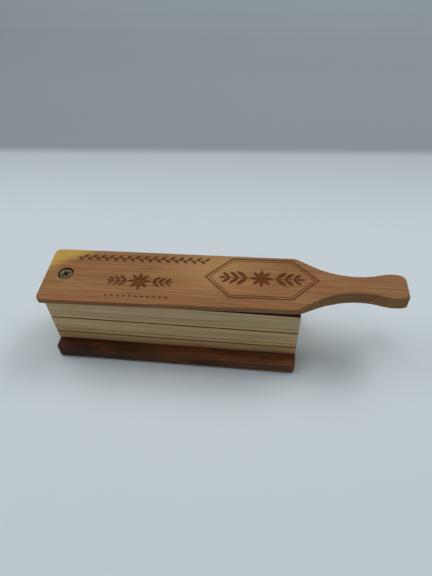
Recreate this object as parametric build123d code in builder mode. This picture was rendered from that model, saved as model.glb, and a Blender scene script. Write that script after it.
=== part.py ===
from build123d import *
from math import cos, hypot, radians, sin, tan
import os

# Friction box call: a hollow wooden box on a wider base board, with a paddle lid on a sprung screw.
# Frame: millimetres, origin at the middle of the base board's underside, +Z up, +X towards the
# handle, -Y towards the front. The lid lies as it rests: turned a degree and raised half a degree.

os.makedirs("parts", exist_ok=True)

# ---- box and base ----
box_length = 166.0
box_width = 38.4
side_top = 50.25  # lips at mid-length, above the ground
lip_fall = 0.5  # how much lower the arched lips are at both ends
side_thickness = 4.5
lip_relief_depth = 1.5  # the inside of each lip is pared thinner over the sound chamber
lip_relief_height = 14.0
lip_full_relief = 3.0  # below the lip's top, where the relief reaches its full depth
base_width = 56.4
base_thickness = 9.9
base_top_round = 0.8
base_foot_round = 2.0
corner_round = 2.6
trough_depth = 2.5  # shallow trough cut in the base under the chamber
trough_end_inset = 4.0
trough_side_inset = 3.0
trough_corner_round = 6.0
screw_block_length = 22.0
handle_block_length = 16.0
block_top = 48.9
block_chamfer = 0.8

# ---- lines cut along the outer faces of the side boards: height, width, depth ----
# two sawn lines, a fine one above each, and an arris taken off along the joint with the base
side_lines = [
    (33.2, 1.0, 0.8),
    (17.6, 1.0, 0.7),
    (36.9, 0.5, 0.2),
    (21.2, 0.6, 0.3),
    (base_thickness, 0.8, 0.45),
]

# ---- lid: distances along it are from the screw ----
screw_x = -72.7
lid_top_at_screw = 56.5
lid_turn = 1.03  # degrees about the screw, handle end to the back
lid_rise = 0.63  # degrees, handle end up
lid_tail = 13.8  # from the screw to the lid's square end
lid_half_width = 23.6
lid_back_taper = 1.8  # the back edge runs in by this much at the shoulder
lid_edge_thickness = 2.7
plate_thickness = 6.0  # over the box
plate_flat_half = 18.0  # where the nearly flat belly ends and the edge turns up
plate_crown = 0.4
paddle_thickness = 9.8  # clear of the box
paddle_flat_half = 13.0
paddle_crown = 0.5
step_start = 150.0  # the box's far corners pass under the start of the step
step_end = 180.0
shoulder_x = 150.5
shoulder_pull = 6.5  # lengths of the curves' handles
waist_pull = 25.0
neck_x = 192.0
neck_half_width = 7.25
neck_pull = 10.0
grip_x = 213.2
grip_half_width = 10.65
grip_pull = 6.5
handle_end_x = 221.5
back_corner = (5.0, 5.0, 0.84)  # of the handle's end: pull, straight part of the end, fullness
front_corner = (5.5, 7.8, 0.93)  # squarer than the one at the back
lid_corner_round = 4.0
lid_edge_round = 1.0
grip_foot_round = 1.2

# ---- pivot: No. 8 flat-head cross-recess wood screw, spring under its head ----
counterbore_radius = 5.15
counterbore_depth = 4.5
lid_hole_radius = 2.5
head_sunk = 0.45
head_radius = 4.2
head_rim = 0.25
head_half_angle = 41.0
shank_radius = 2.08
shank_length = 11.0
shank_bore_radius = 2.13
shank_end_chamfer = 0.6
thread_core_radius = 1.45
thread_pitch = 2.0
thread_start = 1.2  # first crest below the shank
thread_root_sunk = 0.2
crest_rise = 0.5
crest_fall = 0.3
screw_length = 32.0
screw_tip_length = 4.0
pilot_radius = 1.6
pilot_spare = 1.0
cross_reach = 2.6
cross_width = 1.25
cross_floor_reach = 0.95
cross_floor_width = 0.6
cross_depth = 2.0
cross_turn = 38.0
spring_wire_radius = 0.3
spring_radius = 3.55
spring_pitch = 0.9
spring_turns = 2.4
spring_clearance = 0.06

# ---- burned ornament on the lid's top: places are (along, across) from the screw ----
burn_depth = 0.25
stem_width = 0.6
leaf_spread = 42.0
leaf_shrink = 0.35
leaf_tuck = 1.0  # a sprig's last leaf starts this far inside its stem
border_middle = (48.5, 16.0)
border_length = 90.0
border_leaves = 30
border_leaf = (4.4, 1.8)
border_lean = 42.0
spray_middle = (51.0, -4.5)
spray_start = 6.5  # a spray's stem leaves its rosette here
spray_stem = 12.5
spray_leaf = (6.8, 2.1)
rosette_petals = 8
rosette_petal = (7.8, 2.5)
diamond_row = -17.6
diamond_count = 11
diamond_spacing = 3.9
diamond_size = (2.9, 1.7)
panel_middle = (130.0, 2.0)
panel_half_length = 37.0
panel_half_height = 17.5
panel_point = 17.0
panel_lines = [(0.0, 0.9), (2.0, 0.5)]  # inset and width of the frame's two lines
panel_stem = 16.5
panel_leaf = (9.2, 2.9)
sprig_pairs = 3

overrun = 1.0  # how far a cut starts or ends clear of the wood


def side_board(name, outward):
    """One long side: arched lip on top, thinner inside the chamber, lines cut along the outside."""
    outer_y = outward * box_width / 2
    inner_y = outer_y - outward * side_thickness
    chamber_length = box_length - screw_block_length - handle_block_length
    chamber_start = -box_length / 2 + screw_block_length
    with BuildPart() as board:
        with BuildSketch(Plane.XZ.offset(-outer_y)):
            with BuildLine():
                Polyline(
                    (-box_length / 2, side_top - lip_fall),
                    (-box_length / 2, base_thickness),
                    (box_length / 2, base_thickness),
                    (box_length / 2, side_top - lip_fall),
                )
                ThreePointArc(
                    (box_length / 2, side_top - lip_fall),
                    (0, side_top),
                    (-box_length / 2, side_top - lip_fall),
                )
            make_face()
        extrude(amount=outward * side_thickness)
        with BuildSketch(Plane.YZ.offset(-box_length / 2)):
            for height, width, depth in side_lines:
                with BuildLine():
                    Polyline(
                        (outer_y + outward * overrun, height + width / 2),
                        (outer_y, height + width / 2),
                        (outer_y - outward * depth, height),
                        (outer_y, height - width / 2),
                        (outer_y + outward * overrun, height - width / 2),
                        close=True,
                    )
                make_face()
        extrude(amount=box_length, mode=Mode.SUBTRACT)
        with BuildSketch(Plane.YZ.offset(chamber_start)):
            with BuildLine():
                Polyline(
                    (inner_y - outward * overrun, side_top + overrun),
                    (inner_y - outward * overrun, side_top - lip_relief_height),
                    (inner_y, side_top - lip_relief_height),
                    (inner_y + outward * lip_relief_depth, side_top - lip_full_relief),
                    (inner_y + outward * lip_relief_depth, side_top + overrun),
                    close=True,
                )
            make_face()
        extrude(amount=chamber_length, mode=Mode.SUBTRACT)
    board.part.label = name
    export_step(board.part, f"parts/{name}.step")


def end_block(name, length, middle_x, bored):
    """A solid block between the side boards, lower than the lips; the screw's one is bored for it."""
    with BuildPart() as block:
        with BuildSketch(Plane.XY.offset(base_thickness)):
            with Locations((middle_x, 0)):
                Rectangle(length, box_width - 2 * side_thickness)
        extrude(amount=block_top - base_thickness)
        chamfer(block.faces().sort_by(Axis.Z)[-1].edges().filter_by(Axis.Y), block_chamfer)
        if bored:
            pilot_depth = block_top - thread_end + pilot_spare
            with Locations((screw_x, 0, block_top)):
                CounterBoreHole(pilot_radius, shank_bore_radius, block_top - shank_end, pilot_depth)
    block.part.label = name
    export_step(block.part, f"parts/{name}.step")


side_board("front_side_board", -1)
side_board("back_side_board", 1)

# ---- base board, wider than the box all along its front and back ----
with BuildPart() as base_board:
    with BuildSketch():
        RectangleRounded(box_length, base_width, corner_round)
    extrude(amount=base_thickness)
    fillet(base_board.faces().sort_by(Axis.Z)[-1].edges(), base_top_round)
    fillet(base_board.faces().sort_by(Axis.Z)[0].edges(), base_foot_round)
    trough_length = box_length - screw_block_length - handle_block_length - 2 * trough_end_inset
    trough_width = box_width - 2 * side_thickness - 2 * trough_side_inset
    with BuildSketch(Plane.XY.offset(base_thickness)):
        with Locations(((screw_block_length - handle_block_length) / 2, 0)):
            RectangleRounded(trough_length, trough_width, trough_corner_round)
    extrude(amount=-trough_depth, mode=Mode.SUBTRACT)
base_board.part.label = "base_board"
export_step(base_board.part, "parts/base_board.step")

# ---- pivot screw, and the two blocks that close the box's ends ----
lid_turned = radians(lid_turn)
lid_raised = radians(lid_rise)
lid_plane = Plane(
    origin=(screw_x, 0, lid_top_at_screw),
    x_dir=(cos(lid_turned) * cos(lid_raised), sin(lid_turned) * cos(lid_raised), sin(lid_raised)),
    z_dir=(-cos(lid_turned) * sin(lid_raised), -sin(lid_turned) * sin(lid_raised), cos(lid_raised)),
)
head_top = lid_top_at_screw - head_sunk
cone_height = (head_radius - shank_radius) / tan(radians(head_half_angle))
shank_top = head_top - head_rim - cone_height
shank_end = shank_top - shank_length
thread_end = head_top - screw_length
thread_length = shank_end - thread_end - screw_tip_length
end_block("screw_end_block", screw_block_length, (screw_block_length - box_length) / 2, True)
end_block("handle_end_block", handle_block_length, (box_length - handle_block_length) / 2, False)

with BuildPart() as pivot_screw:
    with BuildSketch(Plane.XZ):
        with BuildLine():
            Polyline(
                (screw_x, head_top),
                (screw_x + head_radius, head_top),
                (screw_x + head_radius, head_top - head_rim),
                (screw_x + shank_radius, shank_top),
                (screw_x + shank_radius, shank_end),
                (screw_x + thread_core_radius, shank_end - shank_end_chamfer),
                (screw_x + thread_core_radius, thread_end + screw_tip_length),
                (screw_x, thread_end),
                close=True,
            )
        make_face()
    revolve(axis=Axis((screw_x, 0, 0), (0, 0, 1)))
    # cutting thread: rings of the thread's own profile, one to a turn
    with BuildSketch(Plane.XZ):
        for ring in range(int(thread_length / thread_pitch) + 1):
            ring_z = shank_end - thread_start - ring * thread_pitch
            with BuildLine():
                Polyline(
                    (screw_x + thread_core_radius - thread_root_sunk, ring_z + crest_rise),
                    (screw_x + shank_radius, ring_z),
                    (screw_x + thread_core_radius - thread_root_sunk, ring_z - crest_fall),
                    close=True,
                )
            make_face()
    revolve(axis=Axis((screw_x, 0, 0), (0, 0, 1)))
    # cross recess: two slots that narrow and shorten downwards
    for turn in (cross_turn, cross_turn + 90):
        slot_dir = (cos(radians(turn)), sin(radians(turn)), 0)
        with BuildSketch(Plane((screw_x, 0, head_top), x_dir=slot_dir)):
            Rectangle(2 * cross_reach, cross_width)
        with BuildSketch(Plane((screw_x, 0, head_top - cross_depth), x_dir=slot_dir)):
            Rectangle(2 * cross_floor_reach, cross_floor_width)
        loft(mode=Mode.SUBTRACT)
pivot_screw.part.label = "pivot_screw"
export_step(pivot_screw.part, "parts/pivot_screw.step")

# ---- tension spring, between the screw's head and the floor of the lid's counterbore ----
spring_foot = lid_top_at_screw - counterbore_depth + spring_wire_radius + spring_clearance
with BuildPart() as tension_spring:
    with BuildLine(Plane.XY.offset(spring_foot)):
        coil = Helix(spring_pitch, spring_pitch * spring_turns, spring_radius, center=(screw_x, 0, 0))
    with BuildSketch(Plane(coil @ 0, z_dir=coil % 0)):
        Circle(spring_wire_radius)
    sweep(is_frenet=True)
tension_spring.part.label = "tension_spring"
export_step(tension_spring.part, "parts/tension_spring.step")


# ---- lid: a paddle, one piece with its handle ----
def lid_section(x):
    """The plane across the lid at a distance from the screw: its x is the lid's width, its y is up."""
    return Plane(lid_plane.from_local_coords((x, 0, 0)), x_dir=lid_plane.y_dir, z_dir=lid_plane.x_dir)


def under_lid(thickness, flat_half, crown):
    """What is pared away below the lid, cut across: the belly is crowned and its edges turn up."""
    half = lid_half_width + overrun
    below = paddle_thickness + overrun
    with BuildSketch() as pared:
        with BuildLine():
            belly = ThreePointArc(
                (-flat_half, crown - thickness),
                (0, -thickness),
                (flat_half, crown - thickness),
            )
            TangentArc(belly @ 1, (half, -lid_edge_thickness), tangent=belly % 1)
            TangentArc(belly @ 0, (-half, -lid_edge_thickness), tangent=(belly % 0) * -1)
            Polyline(
                (half, -lid_edge_thickness),
                (half, -below),
                (-half, -below),
                (-half, -lid_edge_thickness),
            )
        make_face()
    return pared.sketch_local


def lid_edge(side, taper, end_corner):
    """One long edge of the lid: plate, shoulder, waist, grip and rounded end corner."""
    tip_pull, end_half, fullness = end_corner
    slope = taper / (shoulder_x + lid_tail)
    shoulder_half = lid_half_width - taper
    Line((-lid_tail, side * lid_half_width), (shoulder_x, side * shoulder_half))
    Bezier(
        (shoulder_x, side * shoulder_half),
        (shoulder_x + shoulder_pull, side * (shoulder_half - shoulder_pull * slope)),
        (neck_x - waist_pull, side * neck_half_width),
        (neck_x, side * neck_half_width),
    )
    Bezier(
        (neck_x, side * neck_half_width),
        (neck_x + neck_pull, side * neck_half_width),
        (grip_x - grip_pull, side * grip_half_width),
        (grip_x, side * grip_half_width),
    )
    Bezier(
        (grip_x, side * grip_half_width),
        (grip_x + tip_pull, side * grip_half_width),
        (handle_end_x, side * fullness * grip_half_width),
        (handle_end_x, side * end_half),
    )


def leaf(foot, angle, size, scale=1.0):
    """A pointed leaf of a length and width: two arcs from its foot to its tip."""
    along = Vector(cos(radians(angle)), sin(radians(angle)))
    across = Vector(-along.Y, along.X) * (size[1] * scale / 2)
    foot = Vector(*foot)
    tip = foot + along * size[0] * scale
    middle = (foot + tip) * 0.5
    with BuildSketch() as shape:
        with BuildLine():
            ThreePointArc(foot, middle + across, tip)
            ThreePointArc(tip, middle - across, foot)
        make_face()
    return shape.sketch_local


def sprig(foot, direction, stem_length, leaf_size):
    """A straight stem along x with pairs of leaves that shorten towards a last leaf at its tip."""
    x, y = foot
    lean = 0 if direction > 0 else 180
    with BuildSketch() as spray:
        with Locations((x + direction * stem_length / 2, y)):
            Rectangle(stem_length, stem_width)
        for pair in range(sprig_pairs):
            knot = (x + direction * stem_length * (pair + 0.5) / sprig_pairs, y)
            scale = 1 - leaf_shrink * pair / sprig_pairs
            add(leaf(knot, lean + leaf_spread, leaf_size, scale))
            add(leaf(knot, lean - leaf_spread, leaf_size, scale))
        add(leaf((x + direction * (stem_length - leaf_tuck), y), lean, leaf_size, 1 - leaf_shrink))
    return spray.sketch_local


def rosette(middle):
    """Petals all round a point."""
    with BuildSketch() as flower:
        for petal in range(rosette_petals):
            add(leaf(middle, 360 * petal / rosette_petals, rosette_petal))
    return flower.sketch_local


def spray(middle, stem_length, leaf_size):
    """A rosette with a sprig to each side."""
    x, y = middle
    with BuildSketch() as whole:
        add(rosette(middle))
        for direction in (1, -1):
            add(sprig((x + direction * spray_start, y), direction, stem_length, leaf_size))
    return whole.sketch_local


def diamond(middle):
    """A small diamond, longer along the lid."""
    x, y = middle
    length, width = diamond_size
    with BuildSketch() as shape:
        with BuildLine():
            Polyline(
                (x - length / 2, y),
                (x, y + width / 2),
                (x + length / 2, y),
                (x, y - width / 2),
                close=True,
            )
        make_face()
    return shape.sketch_local


def panel(inset):
    """The long six-sided panel with a point at each end, drawn in by an inset all round."""
    x, y = panel_middle
    half_height = panel_half_height - inset
    half_length = panel_half_length - inset * hypot(1, panel_point / panel_half_height)
    shoulder = half_length - panel_point * half_height / panel_half_height
    with BuildSketch() as shape:
        with BuildLine():
            Polyline(
                (x - half_length, y),
                (x - shoulder, y + half_height),
                (x + shoulder, y + half_height),
                (x + half_length, y),
                (x + shoulder, y - half_height),
                (x - shoulder, y - half_height),
                close=True,
            )
        make_face()
    return shape.sketch_local


with BuildPart() as lid:
    # the paddle's outline
    with BuildSketch(lid_plane):
        with BuildLine():
            Line((-lid_tail, -lid_half_width), (-lid_tail, lid_half_width))
            lid_edge(1, lid_back_taper, back_corner)
            lid_edge(-1, 0, front_corner)
            Line((handle_end_x, back_corner[1]), (handle_end_x, -front_corner[1]))
        outline = make_face()
        fillet(outline.vertices().sort_by(Axis.X)[:2], lid_corner_round)
    extrude(amount=-paddle_thickness)
    lid_faces = lid.faces().sort_by(Axis(lid_plane.origin, lid_plane.z_dir))
    fillet(lid_faces[-1].edges(), lid_edge_round)
    fillet(lid_faces[0].edges(), grip_foot_round)
    # the underside: thin over the box, full thickness past it, with a slope between the two
    plate_underside = (plate_thickness, plate_flat_half, plate_crown)
    paddle_underside = (paddle_thickness, paddle_flat_half, paddle_crown)
    with BuildSketch(lid_section(-lid_tail - overrun)):
        add(under_lid(*plate_underside))
    extrude(amount=step_start + lid_tail + overrun, mode=Mode.SUBTRACT)
    with BuildSketch(lid_section(step_start)):
        add(under_lid(*plate_underside))
    with BuildSketch(lid_section(step_end)):
        add(under_lid(*paddle_underside))
    loft(mode=Mode.SUBTRACT)
    with BuildSketch(lid_section(step_end)):
        add(under_lid(*paddle_underside))
    extrude(amount=handle_end_x - step_end + overrun, mode=Mode.SUBTRACT)
    # the screw's well and its clearance hole
    with Locations(lid_plane):
        CounterBoreHole(lid_hole_radius, counterbore_radius, counterbore_depth)
    # burned ornament: leaves along the back edge, a spray over a row of diamonds, and a framed spray
    with BuildSketch(lid_plane):
        with Locations(border_middle):
            Rectangle(border_length, stem_width)
        for number in range(border_leaves):
            knot_x = border_middle[0] + border_length * ((number + 0.5) / border_leaves - 0.5)
            lean = border_lean if number % 2 else -border_lean
            add(leaf((knot_x, border_middle[1]), lean, border_leaf))
        add(spray(spray_middle, spray_stem, spray_leaf))
        for number in range(diamond_count):
            across = (number - (diamond_count - 1) / 2) * diamond_spacing
            add(diamond((spray_middle[0] + across, diamond_row)))
        for inset, width in panel_lines:
            add(panel(inset))
            add(panel(inset + width), mode=Mode.SUBTRACT)
        add(spray(panel_middle, panel_stem, panel_leaf))
    extrude(amount=-burn_depth, mode=Mode.SUBTRACT)
lid.part.label = "lid"
export_step(lid.part, "parts/lid.step")
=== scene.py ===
from math import cos, pi, radians, sin

import bpy
from mathutils import Matrix, Vector


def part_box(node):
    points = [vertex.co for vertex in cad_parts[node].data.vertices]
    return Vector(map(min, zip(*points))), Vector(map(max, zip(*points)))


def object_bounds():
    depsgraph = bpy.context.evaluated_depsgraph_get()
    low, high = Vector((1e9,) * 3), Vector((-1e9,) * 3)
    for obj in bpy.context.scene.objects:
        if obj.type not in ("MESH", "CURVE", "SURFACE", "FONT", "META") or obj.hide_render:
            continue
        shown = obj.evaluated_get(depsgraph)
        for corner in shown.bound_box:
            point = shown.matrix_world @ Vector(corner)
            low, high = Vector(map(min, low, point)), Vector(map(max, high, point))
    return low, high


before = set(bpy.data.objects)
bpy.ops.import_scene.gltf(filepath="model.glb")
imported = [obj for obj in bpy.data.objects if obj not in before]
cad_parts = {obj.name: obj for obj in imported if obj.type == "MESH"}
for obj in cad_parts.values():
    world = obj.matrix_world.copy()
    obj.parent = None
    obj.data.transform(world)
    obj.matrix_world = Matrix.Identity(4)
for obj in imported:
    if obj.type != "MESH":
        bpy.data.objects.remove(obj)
cad_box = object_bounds()

MM = 0.001

# ---- camera: looks down on the front and the lid, from above the handle's side ----
CAMERA_PLACE = (0.0584, -0.2101, 0.2846)
CAMERA_PITCH = 0.833  # radians below level
CAMERA_YAW = -0.144  # to the left of +Y
CAMERA_ROLL = -0.045
CAMERA_LENS = 30.11  # millimetres
CAMERA_SENSOR = 36  # millimetres wide

# ---- floor: a pale board that ends behind the object, on a darker table ----
FLOOR_BACK_LEFT = (-0.8, 0.209)
FLOOR_BACK_RIGHT = (0.8, 0.290)
FLOOR_REACH = 1.6  # metres in front of the middle and to each side
FLOOR_EDGE_SOFT = 0.014  # metres over which the board's back edge falls away into the table's colour in painted shade
FLOOR_COLOUR = (0.680, 0.757, 0.800)
FLOOR_SHADES = ((0.10, 1.0), (0.29, 0.70))  # metres along y, share of the light there
TABLE_COLOUR = (0.295, 0.337, 0.366)
# metres along y, share of the painted light there
TABLE_SHADES = ((0.25, 1.0), (0.45, 1.06), (0.55, 1.12), (0.62, 1.24), (0.75, 1.42))
TABLE_DROP = 1 * MM  # of the table below the board

# ---- light ----
ROOM_COLOUR = (0.256, 0.286, 0.304)
ROOM_STRENGTH = 0.455
LAMP_SIZE = 0.55
LAMP_TARGET = (0, 0, 0.02)
LAMPS = {  # name: place, watts
    "above": ((0, 0.044, 1.249), 2.55),
    "behind_left": ((-0.549, 0.461, 1.024), 2.30),
    "behind_right": ((0.549, 0.461, 1.024), 5.20),
    "left": ((-0.717, 0, 1.024), 2.58),
    "front": ((0, -1.133, 0.528), 0.41),
}

# ---- the lid: along and across are from the screw, levels are above its top face ----
LID_TURN = radians(1.03)  # about the screw, handle end to the back
LID_RISE = radians(0.63)  # handle end up
LID_TOP = 56.5 * MM  # of the painted shade round the screw's head
WELL_RADIUS = 5.3 * MM  # of the grime round the screw's head
BURN_LEVELS = (-0.6 * MM, -0.07 * MM)  # the ornament's walls and floors lie between them
ORNAMENT_SIDES = (-19 * MM, 20.6 * MM)  # across
ORNAMENT_START = 3 * MM  # along
PANEL_LINE = 2 * MM  # across: the line that the panel's points lie on
PANEL_POINT = 169.5 * MM  # along: past the panel's far point
PANEL_SLANT = 0.97  # how the panel's pointed end runs back from there
PALE_MIDDLE = 98 * MM  # along: the middle of a stretch of paler wood

# ---- the side boards ----
board_low, board_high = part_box("back_side_board")
SAWN_LINES = (17.6 * MM, 33.2 * MM)  # heights of the two deep lines along them
STAIN_REACH = 2 * MM  # the stain is gone this far from those lines
LIP_DEPTH = 0.8 * MM  # of the painted shade on top of the lips

# ---- the screw ----
screw_low, screw_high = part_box("pivot_screw")
SCREW_X = (screw_low.x + screw_high.x) / 2
RECESS_REACH = 2.6 * MM  # of the cross recess in its head
RECESS_DEPTHS = (2.5 * MM, 0.1 * MM)  # below the head's top
TURNED_MARKS = 0.28 * MM  # from one turned ring on the head to the next


def camera():
    """The camera, from its place and its three angles."""
    aim = Vector((
        sin(CAMERA_YAW) * cos(CAMERA_PITCH),
        cos(CAMERA_YAW) * cos(CAMERA_PITCH),
        -sin(CAMERA_PITCH),
    ))
    level = Vector((cos(CAMERA_YAW), -sin(CAMERA_YAW), 0))
    upright = level.cross(aim)
    right = level * cos(CAMERA_ROLL) + upright * sin(CAMERA_ROLL)
    up = upright * cos(CAMERA_ROLL) - level * sin(CAMERA_ROLL)
    data = bpy.data.cameras.new("camera")
    data.lens = CAMERA_LENS
    data.sensor_width = CAMERA_SENSOR
    data.clip_start = 0.01
    eye = bpy.data.objects.new("camera", data)
    turn = Matrix((right, up, -aim)).transposed().to_4x4()
    eye.matrix_world = Matrix.Translation(CAMERA_PLACE) @ turn
    bpy.context.scene.collection.objects.link(eye)
    bpy.context.scene.camera = eye


class Shading:
    """A material's node tree, with a short call for each kind of node that the materials use."""

    def __init__(self, name):
        self.material = bpy.data.materials.new(name)
        self.material.use_nodes = True
        self.tree = self.material.node_tree
        self.tree.nodes.clear()
        out = self.tree.nodes.new("ShaderNodeOutputMaterial")
        self.shader = self.tree.nodes.new("ShaderNodeBsdfPrincipled")
        self.tree.links.new(self.shader.outputs[0], out.inputs[0])
        self.place = self.tree.nodes.new("ShaderNodeTexCoord").outputs["Object"]

    def put(self, socket, value):
        """Links an output to a socket, or sets the socket's own value."""
        if isinstance(value, bpy.types.NodeSocket):
            self.tree.links.new(value, socket)
        elif value is not None:
            socket.default_value = value

    def surface(self, colour, roughness, normal):
        """Gives the shader what every material states, and returns the material."""
        self.put(self.shader.inputs["Base Color"], colour)
        self.put(self.shader.inputs["Roughness"], roughness)
        self.put(self.shader.inputs["Normal"], normal)
        return self.material

    def dull(self, level, where, loss):
        """Sets the specular level, less some of it where a mask is 1."""
        dulled = self.math("MULTIPLY_ADD", where, -loss, level)
        self.put(self.shader.inputs["Specular IOR Level"], dulled)

    def math(self, operation, a, b=None, c=None, clamp=False):
        node = self.tree.nodes.new("ShaderNodeMath")
        node.operation = operation
        node.use_clamp = clamp
        for socket, value in zip(node.inputs, (a, b, c)):
            self.put(socket, value)
        return node.outputs[0]

    def stretch(self, scale, shift):
        """The place in the object, scaled and shifted: features are 1/scale metres long."""
        node = self.tree.nodes.new("ShaderNodeMapping")
        self.put(node.inputs["Vector"], self.place)
        node.inputs["Location"].default_value = shift
        node.inputs["Scale"].default_value = scale
        return node.outputs[0]

    def noise(self, scale, shift, detail, roughness=0.5, warp=0.0):
        """Noise from 0 to 1, with its features 1/scale metres long in x, y and z."""
        node = self.tree.nodes.new("ShaderNodeTexNoise")
        self.put(node.inputs["Vector"], self.stretch(scale, shift))
        node.inputs["Scale"].default_value = 1.0
        node.inputs["Detail"].default_value = detail
        node.inputs["Roughness"].default_value = roughness
        node.inputs["Distortion"].default_value = warp
        return node.outputs["Fac"]

    def ramp(self, value, stops, ease="LINEAR"):
        """A colour or a grey for each place on a scale: stops are (place, grey or colour)."""
        node = self.tree.nodes.new("ShaderNodeValToRGB")
        node.color_ramp.interpolation = ease
        self.put(node.inputs[0], value)
        elements = node.color_ramp.elements
        while len(elements) < len(stops):
            elements.new(0.5)
        for element, (place, shade) in zip(elements, stops):
            element.position = place
            grey = isinstance(shade, (int, float))
            element.color = (shade, shade, shade, 1) if grey else (*shade, 1)
        return node.outputs[0]

    def mix(self, amount, a, b, mode="MIX"):
        """Two colours mixed."""
        node = self.tree.nodes.new("ShaderNodeMix")
        node.data_type = "RGBA"
        node.blend_type = mode
        self.put(node.inputs["Factor"], amount)
        for label, value in (("A", a), ("B", b)):
            socket = [s for s in node.inputs if s.name == label and s.type == "RGBA"][0]
            self.put(socket, (*value, 1) if isinstance(value, tuple) else value)
        return [s for s in node.outputs if s.type == "RGBA"][0]

    def split(self, vector):
        node = self.tree.nodes.new("ShaderNodeSeparateXYZ")
        self.put(node.inputs[0], vector)
        return node.outputs

    def bump(self, height, distance, strength, normal=None):
        node = self.tree.nodes.new("ShaderNodeBump")
        self.put(node.inputs["Height"], height)
        node.inputs["Distance"].default_value = distance
        node.inputs["Strength"].default_value = strength
        self.put(node.inputs["Normal"], normal)
        return node.outputs[0]

    def rounded(self, radius):
        """The surface's normal with its sharp edges eased over a radius."""
        node = self.tree.nodes.new("ShaderNodeBevel")
        node.samples = 4
        node.inputs["Radius"].default_value = radius
        return node.outputs[0]

    def true_normal(self):
        return self.tree.nodes.new("ShaderNodeNewGeometry").outputs["Normal"]

    def dot(self, a, b):
        node = self.tree.nodes.new("ShaderNodeVectorMath")
        node.operation = "DOT_PRODUCT"
        self.put(node.inputs[0], a)
        self.put(node.inputs[1], b)
        return node.outputs["Value"]

    def edges(self, eased):
        """1 along an edge and 0 on a flat face, from how far the eased normal leans away."""
        return self.ramp(self.dot(self.true_normal(), eased), [(0.75, 1), (0.985, 0)])

    def along(self, direction, origin):
        """How far the place lies from an origin in a direction, in metres."""
        away = self.tree.nodes.new("ShaderNodeVectorMath")
        away.operation = "SUBTRACT"
        self.put(away.inputs[0], self.place)
        away.inputs[1].default_value = origin
        return self.dot(away.outputs[0], direction)

    def radius(self, a, b):
        """The length of two sides at right angles taken together."""
        squares = self.math("ADD", self.math("POWER", a, 2), self.math("POWER", b, 2))
        return self.math("SQRT", squares)

    def above(self, value, low, soft):
        """1 above a limit and 0 below it, over a soft edge."""
        return self.math("MULTIPLY_ADD", value, 1 / soft, 0.5 - low / soft, clamp=True)

    def below(self, value, high, soft):
        """1 below a limit and 0 above it, over a soft edge."""
        return self.math("MULTIPLY_ADD", value, -1 / soft, 0.5 + high / soft, clamp=True)

    def between(self, value, low, high, soft):
        """1 inside a range and 0 outside it, over a soft edge."""
        return self.math("MULTIPLY", self.above(value, low, soft), self.below(value, high, soft))


def growth_rings(wood, pith, spacing, sway, sway_size, seed):
    """The place in a growth ring, 0 to 1, for a log whose pith lies along x at (y, z)."""
    drift = wood.noise(sway_size, (seed, seed, seed), 2.0)
    place = wood.split(wood.place)
    across = wood.math("ADD", place["Y"], -pith[0])
    down = wood.math("ADD", place["Z"], -pith[1])
    swayed = wood.math("MULTIPLY_ADD", drift, sway, wood.radius(across, down))
    return wood.math("FRACT", wood.math("DIVIDE", swayed, spacing))


def calmed(wood, streaks):
    """Streaks that fade where the wood is cut across: an end shows its rings and pores instead."""
    cut_across = wood.math("ABSOLUTE", wood.split(wood.true_normal())["X"])
    share = wood.ramp(cut_across, [(0.6, 1.0), (0.9, 0.25)])
    return wood.math("MULTIPLY_ADD", wood.math("SUBTRACT", streaks, 0.5), share, 0.5)


def heartwood(wood, late, fibre, streak, patch, pores):
    """The lid's reddish wood: warm and honey-coloured patches, darker rings, fibres and pores."""
    plain = wood.ramp(streak, [
        (0.28, (0.225, 0.095, 0.028)),
        (0.45, (0.285, 0.132, 0.043)),
        (0.58, (0.325, 0.157, 0.053)),
        (0.75, (0.385, 0.198, 0.070)),
    ])
    warm = wood.mix(wood.ramp(patch, [(0.50, 0.0), (0.68, 0.55)]), plain, (0.345, 0.106, 0.033))
    honey = wood.mix(wood.ramp(patch, [(0.28, 0.45), (0.44, 0.0)]), warm, (0.35, 0.185, 0.045))
    ringed = wood.mix(wood.math("MULTIPLY", late, 0.45), honey, (0.17, 0.062, 0.018))
    fine = wood.mix(wood.ramp(fibre, [(0.34, 0.5), (0.52, 0.0)]), ringed, (0.155, 0.062, 0.018))
    lit = wood.mix(wood.ramp(fibre, [(0.56, 0.0), (0.72, 0.4)]), fine, (0.47, 0.255, 0.100))
    return wood.mix(wood.ramp(pores, [(0.26, 0.55), (0.34, 0.0)]), lit, (0.095, 0.032, 0.010))


def pale_stretch(wood, colour, far, side, patch):
    """Paler wood half-way along the lid, uneven at its ends and fading towards the front edge."""
    away = wood.math("ABSOLUTE", wood.math("SUBTRACT", far, PALE_MIDDLE))
    uneven = wood.math("MULTIPLY_ADD", away, 14.0, wood.math("MULTIPLY", patch, 0.5))
    paler = wood.ramp(uneven, [(0.3, 0.5), (0.85, 0.0)])
    from_front = wood.ramp(wood.math("MULTIPLY_ADD", side, 30.0, 0.6), [(0.1, 0.0), (0.5, 1.0)])
    return wood.mix(wood.math("MULTIPLY", paler, from_front), colour, (0.46, 0.270, 0.105))


def sapwood_corner(wood, colour, far, side, streak, fibre):
    """Yellow sapwood in the back corner by the screw, its border wandering along the grain."""
    wander = wood.noise((28, 120, 120), (3, 3, 5), 3.0, 0.6, 0.6)
    corner = wood.math("MULTIPLY_ADD", far, -0.8, side)
    streaked = wood.math("MULTIPLY_ADD", streak, 9 * MM, corner)
    border = wood.math("MULTIPLY_ADD", wander, 15 * MM, streaked)
    yellow = wood.ramp(wood.math("MULTIPLY_ADD", border, 40.0, -0.60), [(0.22, 0.0), (0.70, 0.88)])
    return wood.mix(yellow, colour, wood.mix(fibre, (0.41, 0.240, 0.036), (0.63, 0.405, 0.085)))


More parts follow.
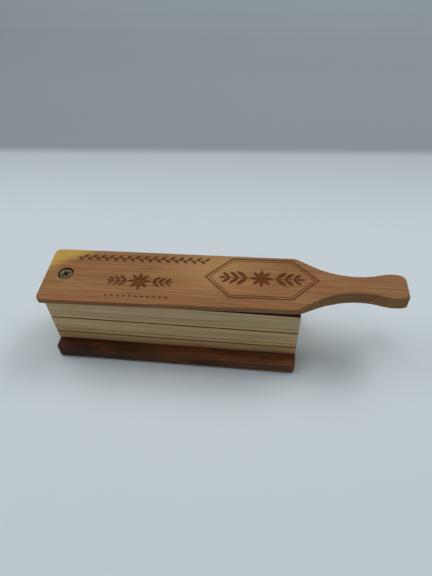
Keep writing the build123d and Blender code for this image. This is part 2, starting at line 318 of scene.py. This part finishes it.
def burned_pits(wood, far, side, level):
    """1 on the floor and the walls of the ornament's shallow pits, and 0 elsewhere on the lid."""
    off_line = wood.math("ABSOLUTE", wood.math("SUBTRACT", side, PANEL_LINE))
    pointed = wood.math("MULTIPLY_ADD", off_line, PANEL_SLANT, far)
    past_well = wood.above(far, ORNAMENT_START, 0.2 * MM)
    before_point = wood.below(pointed, PANEL_POINT, 0.2 * MM)
    sunk = wood.between(level, *BURN_LEVELS, 0.03 * MM)
    drawn_across = wood.between(side, *ORNAMENT_SIDES, 0.2 * MM)
    drawn_along = wood.math("MULTIPLY", past_well, before_point)
    return wood.math("MULTIPLY", drawn_along, wood.math("MULTIPLY", sunk, drawn_across))


def well_painted_shade(wood, far, side, level):
    """The mask of painted shade: 1 on the walls and the floor of the screw's well, and 0 elsewhere on
    the lid.
    """
    by_screw = wood.below(wood.radius(far, side), WELL_RADIUS, 0.3 * MM)
    return wood.math("MULTIPLY", by_screw, wood.below(level, -0.02 * MM, 0.04 * MM))


def lid_wood():
    """Reddish heartwood with a corner of yellow sapwood, fine grain along the paddle, burned marks."""
    wood = Shading("red_lid_wood")
    along_lid = Vector((cos(LID_TURN) * cos(LID_RISE), sin(LID_TURN) * cos(LID_RISE), sin(LID_RISE)))
    across_lid = Vector((-sin(LID_TURN), cos(LID_TURN), 0))
    origin = (SCREW_X, 0, LID_TOP)
    far = wood.along(along_lid, origin)
    side = wood.along(across_lid, origin)
    level = wood.along(along_lid.cross(across_lid), origin)

    rings = growth_rings(wood, (-0.044, -0.020), 1.7 * MM, 9 * MM, (7, 34, 34), 3.1)
    late = wood.ramp(rings, [(0.0, 0.12), (0.55, 0.2), (0.86, 0.85), (0.93, 1.0), (1.0, 0.1)])
    fibre = wood.noise((34, 1300, 1300), (2, 5, 1), 4.0, 0.62, 0.4)
    streak = wood.noise((11, 480, 480), (7, 1, 3), 4.0, 0.6, 0.3)
    patch = wood.noise((14, 75, 75), (1, 8, 2), 3.0, 0.55, 0.5)
    pores = wood.noise((150, 3600, 3600), (4, 4, 9), 2.0)
    red = heartwood(wood, late, fibre, streak, patch, pores)
    paled = pale_stretch(wood, red, far, side, patch)
    sapped = sapwood_corner(wood, paled, far, side, streak, fibre)

    burned = burned_pits(wood, far, side, level)
    charred = wood.ramp(streak, [(0.35, 0.0), (0.7, 1.0)])
    scorch = wood.mix(charred, (0.092, 0.026, 0.005), (0.165, 0.054, 0.013))
    marked = wood.mix(wood.math("MULTIPLY", burned, 0.93), sapped, scorch)
    # painted shade on the walls and the floor of the screw's well
    grime_and_shade = wood.math("MULTIPLY", well_painted_shade(wood, far, side, level), 0.9)
    well_shaded = wood.mix(grime_and_shade, marked, (0.030, 0.016, 0.007))
    eased = wood.rounded(0.5 * MM)
    # painted shade: the lid is darker along its rounded edges
    edge_wear_and_shade = wood.math("MULTIPLY", wood.edges(eased), 0.42)
    edge_worn_and_shaded = wood.mix(edge_wear_and_shade, well_shaded, (0.120, 0.062, 0.026))

    oiled = wood.ramp(fibre, [(0.3, 0.66), (0.7, 0.50)])
    rough = wood.mix(burned, oiled, (0.85, 0.85, 0.85))
    wood.dull(0.28, burned, 0.22)
    grain_height = wood.math("MULTIPLY_ADD", fibre, 0.6, wood.math("MULTIPLY", pores, 0.4))
    height = wood.math("MULTIPLY_ADD", late, 0.3, grain_height)
    return wood.surface(edge_worn_and_shaded, rough, wood.bump(height, 0.09 * MM, 0.8, eased))


class PaleWood(Shading):
    """Pale close-grained wood, a little grey and olive, with painted shade making it browner and
    darker low down on the box.
    """

    def __init__(self, name, pith, seed):
        super().__init__(name)
        rings = growth_rings(self, pith, 3.4 * MM, 7 * MM, (5, 40, 40), seed)
        self.late = self.ramp(rings, [(0.0, 0.0), (0.6, 0.25), (0.9, 0.9), (1.0, 0.0)])
        self.fibre = self.noise((26, 1500, 1500), (8, 2, 4), 4.0, 0.62, 0.3)
        streak = calmed(self, self.noise((8, 260, 260), (5, 7, 2), 4.0, 0.6, 0.3))
        patch = self.noise((12, 60, 60), (9, 3, 6), 2.0, 0.5, 0.4)
        plain = self.ramp(streak, [
            (0.28, (0.540, 0.362, 0.178)),
            (0.48, (0.715, 0.508, 0.282)),
            (0.62, (0.790, 0.575, 0.332)),
            (0.78, (0.850, 0.655, 0.405)),
        ])
        tinted = self.mix(self.ramp(patch, [(0.46, 0.0), (0.64, 0.5)]), plain, (0.66, 0.450, 0.270))
        olive = self.mix(self.ramp(patch, [(0.34, 0.5), (0.48, 0.0)]), tinted, (0.58, 0.465, 0.225))
        ringed = self.mix(self.math("MULTIPLY", self.late, 0.36), olive, (0.40, 0.265, 0.120))
        dark_fibre = self.ramp(self.fibre, [(0.33, 0.42), (0.52, 0.0)])
        fine = self.mix(dark_fibre, ringed, (0.37, 0.240, 0.115))
        self.x, self.y, self.z = self.split(self.place)
        # painted shade: browner and darker towards the bottom of the boards, near the dark base
        height = self.math("MULTIPLY", self.z, 1 / board_high.z)
        low_painted_shade = self.ramp(height, [(0.2, (0.93, 0.77, 0.62)), (0.62, (1.0, 1.0, 1.0))])
        self.colour = self.mix(1.0, fine, low_painted_shade, "MULTIPLY")

    def bare(self, colour):
        """A bare sanded surface, darker along its edges."""
        eased = self.rounded(0.35 * MM)
        edge_wear_and_shade = self.math("MULTIPLY", self.edges(eased), 0.35)
        edge_worn_and_shaded = self.mix(edge_wear_and_shade, colour, (0.33, 0.235, 0.115))
        rough = self.ramp(self.fibre, [(0.3, 0.74), (0.7, 0.58)])
        height = self.math("MULTIPLY_ADD", self.late, 0.3, self.fibre)
        return self.surface(edge_worn_and_shaded, rough, self.bump(height, 0.07 * MM, 0.8, eased))


def block_wood():
    """The end blocks' wood."""
    wood = PaleWood("pale_block_wood", (-0.034, 0.062), 2.7)
    wood.shader.inputs["Specular IOR Level"].default_value = 0.3
    return wood.bare(wood.colour)


def side_wood():
    """The side boards' wood: sawn lines darkened with painted shade and stained at their sides, lip
    tops darkened with painted shade.
    """
    wood = PaleWood("pale_side_wood", (0.030, -0.055), 6.3)
    out = wood.math("ABSOLUTE", wood.y)

    from_lines = [wood.math("ABSOLUTE", wood.math("SUBTRACT", wood.z, line)) for line in SAWN_LINES]
    nearest = wood.math("MULTIPLY", wood.math("MINIMUM", *from_lines), 1 / STAIN_REACH)
    near_line = wood.ramp(nearest, [(0.3, 1.0), (0.85, 0.0)])
    outside = wood.above(out, board_high.y - 1 * MM, 0.1 * MM)
    brown = wood.mix(1.0, wood.colour, (0.93, 0.82, 0.52), "MULTIPLY")
    stained = wood.mix(wood.math("MULTIPLY", near_line, outside), wood.colour, brown)

    # painted shade on the lines' walls and floors, which lie a little inside the outer faces, short of
    # the boards' edges
    low, high = board_low, board_high
    under_face = wood.between(out, high.y - 0.95 * MM, high.y - 0.12 * MM, 0.1 * MM)
    off_ends = wood.between(wood.x, low.x + 0.05 * MM, high.x - 0.05 * MM, 0.1 * MM)
    off_edges = wood.between(wood.z, low.z + 0.3 * MM, high.z - 1.2 * MM, 0.1 * MM)
    groove_shade_mask = wood.math("MULTIPLY", wood.math("MULTIPLY", under_face, off_ends), off_edges)
    groove_shaded = wood.mix(wood.math("MULTIPLY", groove_shade_mask, 0.90), stained, (0.095, 0.040, 0.006))

    # painted shade on the lips' top faces
    facing_up = wood.ramp(wood.split(wood.true_normal())["Z"], [(0.6, 0.0), (0.8, 1.0)])
    by_top = wood.above(wood.z, board_high.z - LIP_DEPTH, 0.2 * MM)
    lip_shade_mask = wood.math("MULTIPLY", facing_up, by_top)
    lip_shaded = wood.mix(wood.math("MULTIPLY", lip_shade_mask, 0.92), groove_shaded, (0.085, 0.045, 0.020))
    wood.dull(0.3, groove_shade_mask, 0.26)
    return wood.bare(lip_shaded)


def base_wood():
    """Dark open-pored board with reddish streaks and a satin oiled surface."""
    wood = Shading("dark_base_wood")
    rings = growth_rings(wood, (0.018, -0.040), 3.0 * MM, 10 * MM, (6, 45, 45), 1.7)
    late = wood.ramp(rings, [(0.0, 0.1), (0.5, 0.3), (0.85, 0.95), (1.0, 0.1)])
    fibre = wood.noise((40, 1200, 1200), (1, 9, 4), 4.0, 0.62, 0.4)
    streak = calmed(wood, wood.noise((14, 230, 230), (6, 2, 8), 4.0, 0.62, 0.5))
    patch = wood.noise((36, 110, 110), (2, 6, 6), 3.0, 0.6, 0.5)
    pores = wood.noise((120, 2400, 2400), (5, 1, 7), 2.0)
    plain = wood.ramp(streak, [
        (0.28, (0.036, 0.012, 0.004)),
        (0.46, (0.072, 0.026, 0.009)),
        (0.60, (0.105, 0.040, 0.014)),
        (0.78, (0.160, 0.066, 0.024)),
    ])
    red = wood.mix(wood.ramp(patch, [(0.50, 0.0), (0.66, 0.7)]), plain, (0.170, 0.042, 0.014))
    # the board is darker at the screw's end and lighter toward the handle
    uneven = wood.math("MULTIPLY_ADD", patch, 0.6, 0.2)
    toward_handle = wood.math("MULTIPLY_ADD", wood.split(wood.place)["X"], 6.0, uneven)
    tone = wood.ramp(toward_handle, [
        (0.12, (0.74, 0.64, 0.57)),
        (0.45, (1.80, 1.66, 1.42)),
        (0.90, (2.25, 2.25, 2.10)),
    ])
    toned = wood.mix(1.0, red, tone, "MULTIPLY")
    ringed = wood.mix(wood.math("MULTIPLY", late, 0.35), toned, (0.030, 0.013, 0.006))
    fine = wood.mix(wood.ramp(fibre, [(0.34, 0.5), (0.54, 0.0)]), ringed, (0.028, 0.012, 0.006))
    pored = wood.mix(wood.ramp(pores, [(0.28, 0.8), (0.36, 0.0)]), fine, (0.012, 0.006, 0.003))
    eased = wood.rounded(0.4 * MM)
    edge_wear_and_shade = wood.math("MULTIPLY", wood.edges(eased), 0.25)
    edge_worn_and_shaded = wood.mix(edge_wear_and_shade, pored, (0.135, 0.070, 0.040))
    rough = wood.ramp(fibre, [(0.3, 0.66), (0.7, 0.48)])
    wood.shader.inputs["Specular IOR Level"].default_value = 0.18
    height = wood.math("MULTIPLY_ADD", pores, 0.6, fibre)
    return wood.surface(edge_worn_and_shaded, rough, wood.bump(height, 0.10 * MM, 0.8, eased))


def screw_metal():
    """Dulled brassy plating: turned marks on the head, painted shade in the cross recess, edges bright
    from wear.
    """
    metal = Shading("screw_brass")
    x, y, z = metal.split(metal.place)
    radius = metal.radius(metal.math("ADD", x, -SCREW_X), y)
    turned = metal.math("SINE", metal.math("MULTIPLY", radius, 2 * pi / TURNED_MARKS))
    stain = metal.noise((420, 420, 420), (3, 3, 3), 4.0, 0.6, 0.3)
    dust = metal.noise((1800, 1800, 1800), (1, 2, 3), 3.0, 0.6)
    plain = metal.ramp(stain, [
        (0.32, (0.070, 0.050, 0.024)),
        (0.52, (0.180, 0.138, 0.072)),
        (0.72, (0.325, 0.265, 0.160)),
    ])
    dull = metal.mix(metal.ramp(dust, [(0.42, 0.45), (0.60, 0.0)]), plain, (0.055, 0.042, 0.025))
    deepest, shallowest = RECESS_DEPTHS
    # painted shade: near-black in the cross recess
    sunk = metal.between(z, screw_high.z - deepest, screw_high.z - shallowest, 0.08 * MM)
    recess = metal.math("MULTIPLY", sunk, metal.below(radius, RECESS_REACH, 0.2 * MM))
    dark = metal.mix(metal.math("MULTIPLY", recess, 0.97), dull, (0.012, 0.008, 0.005))
    eased = metal.rounded(0.12 * MM)
    edge_wear_and_shade = metal.math("MULTIPLY", metal.edges(eased), 0.5)
    bright = metal.mix(edge_wear_and_shade, dark, (0.40, 0.35, 0.25))
    metal.shader.inputs["Metallic"].default_value = 0.85
    rough = metal.ramp(stain, [(0.3, 0.55), (0.7, 0.34)])
    height = metal.math("MULTIPLY_ADD", turned, 0.5, dust)
    return metal.surface(bright, rough, metal.bump(height, 0.012 * MM, 0.6, eased))


def spring_metal():
    """Drawn wire: bright, with fine lines and a trace of dirt."""
    metal = Shading("spring_steel")
    grime_and_shade = metal.noise((900, 900, 900), (6, 1, 2), 4.0, 0.6, 0.3)
    drawn = metal.noise((600, 600, 9000), (1, 1, 1), 2.0)
    tone = metal.ramp(grime_and_shade, [(0.35, (0.16, 0.145, 0.13)), (0.6, (0.46, 0.455, 0.45))])
    metal.shader.inputs["Metallic"].default_value = 1.0
    rough = metal.ramp(drawn, [(0.3, 0.42), (0.7, 0.28)])
    return metal.surface(tone, rough, metal.bump(drawn, 0.01 * MM, 0.5))


def floor_edge(paint, x, y):
    """How far a place lies in front of the pale board's back edge, in metres."""
    (x0, y0), (x1, y1) = FLOOR_BACK_LEFT, FLOOR_BACK_RIGHT
    slope = (y1 - y0) / (x1 - x0)
    line = paint.math("MULTIPLY_ADD", x, slope, y0 - slope * x0)
    return paint.math("SUBTRACT", line, y)


def board_paint(name, colour, shades, past_edge=None):
    """Matt paint with painted light and shade along y, that can soften into a second colour past the
    edge.
    """
    paint = Shading(name)
    mottle = paint.noise((9, 9, 9), (2, 2, 2), 2.0)
    tooth = paint.noise((900, 900, 900), (1, 1, 1), 2.0)
    even = paint.mix(mottle, colour, tuple(0.985 * c for c in colour))
    x, y, _ = paint.split(paint.place)
    start = shades[0][0]
    reach = shades[-1][0] - start
    stops = [((place - start) / reach, share) for place, share in shades]
    share = paint.ramp(paint.math("MULTIPLY_ADD", y, 1 / reach, -start / reach), stops, "EASE")
    shown = paint.mix(1.0, even, share, "MULTIPLY")
    if past_edge:
        kept = paint.math("MULTIPLY", floor_edge(paint, x, y), 1 / FLOOR_EDGE_SOFT, clamp=True)
        shown = paint.mix(kept, past_edge, shown)
    paint.shader.inputs["Specular IOR Level"].default_value = 0.25
    return paint.surface(shown, 0.6, paint.bump(tooth, 0.02 * MM, 0.3))


def dress(nodes, material):
    """Gives CAD nodes a material in place of their own."""
    for name in nodes:
        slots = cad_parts[name].material_slots
        for one in slots:
            one.link = "OBJECT"
            one.material = material


def flat_board(name, corners, height, paint):
    """A flat staging board with a corner list of (x, y) at a height."""
    mesh = bpy.data.meshes.new(name)
    mesh.from_pydata([(x, y, height) for x, y in corners], [], [(0, 1, 2, 3)])
    mesh.materials.append(paint)
    board = bpy.data.objects.new(name, mesh)
    bpy.context.scene.collection.objects.link(board)


def floor():
    """A pale board that ends behind the object, on a darker table."""
    ground = cad_box[0][2]
    near, wide = FLOOR_REACH, 2 * FLOOR_REACH
    pale = [FLOOR_BACK_LEFT, (-near, -near), (near, -near), FLOOR_BACK_RIGHT]
    table = [(-wide, wide), (-wide, -wide), (wide, -wide), (wide, wide)]
    floor_paint = board_paint("floor_paint", FLOOR_COLOUR, FLOOR_SHADES, TABLE_COLOUR)
    table_paint = board_paint("table_paint", TABLE_COLOUR, TABLE_SHADES)
    flat_board("floor", pale, ground, floor_paint)
    flat_board("table", table, ground - TABLE_DROP, table_paint)


def lamp(name, place, power):
    """A soft square light aimed at the object."""
    data = bpy.data.lights.new(name, "AREA")
    data.size = LAMP_SIZE
    data.energy = power
    light = bpy.data.objects.new(name, data)
    light.location = place
    aim = Vector(LAMP_TARGET) - Vector(place)
    light.rotation_euler = aim.to_track_quat("-Z", "Y").to_euler()
    bpy.context.scene.collection.objects.link(light)


def room():
    """The even light of a plain room."""
    world = bpy.data.worlds.new("room")
    world.use_nodes = True
    background = world.node_tree.nodes["Background"]
    background.inputs["Color"].default_value = (*ROOM_COLOUR, 1)
    background.inputs["Strength"].default_value = ROOM_STRENGTH
    bpy.context.scene.world = world


camera()
room()
floor()
for lamp_name, (lamp_place, lamp_power) in LAMPS.items():
    lamp(lamp_name, lamp_place, lamp_power)
bpy.context.scene.view_settings.view_transform = "Standard"

dress(["lid"], lid_wood())
dress(["front_side_board", "back_side_board"], side_wood())
dress(["screw_end_block", "handle_end_block"], block_wood())
dress(["base_board"], base_wood())
dress(["pivot_screw"], screw_metal())
dress(["tension_spring"], spring_metal())
